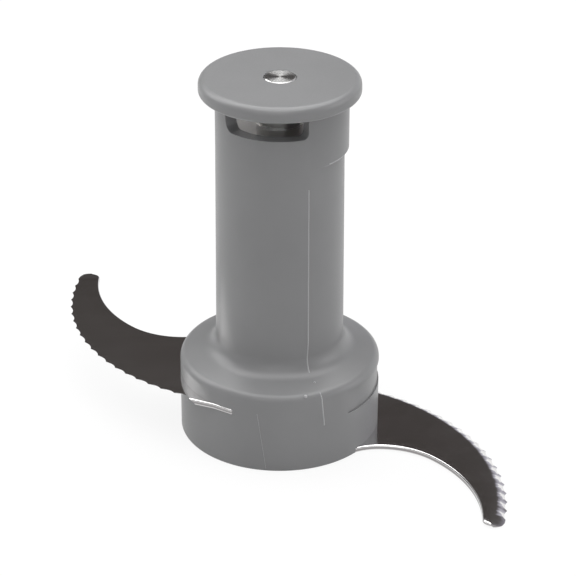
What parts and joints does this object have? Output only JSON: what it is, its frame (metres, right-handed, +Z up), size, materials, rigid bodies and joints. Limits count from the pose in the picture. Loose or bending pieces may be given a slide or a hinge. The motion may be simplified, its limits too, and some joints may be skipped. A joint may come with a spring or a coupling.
{
  "type": "food processor blade",
  "caption": "Serrated sickle blades low on a grey moulded hub with a disc cap; it stands on a food processor's bowl spindle and chops.",
  "frame": {"origin": "on the spindle axis, in the plane that the hub stands on", "axes": "+Z up along the spindle axis; -Y is the front; the lower blade points to +X and sweeps round to the front"},
  "size_m": [0.1196, 0.1086, 0.1026],
  "materials": {
    "grey_plastic": "satin moulded",
    "blade_steel": "polished",
    "bush_steel": "turned"
  },
  "bodies": {
    "root": {"hub": "grey_plastic", "cap": "grey_plastic", "upper_blade": "blade_steel", "lower_blade": "blade_steel", "drive_bush": "bush_steel"}
  },
  "joints": []
}
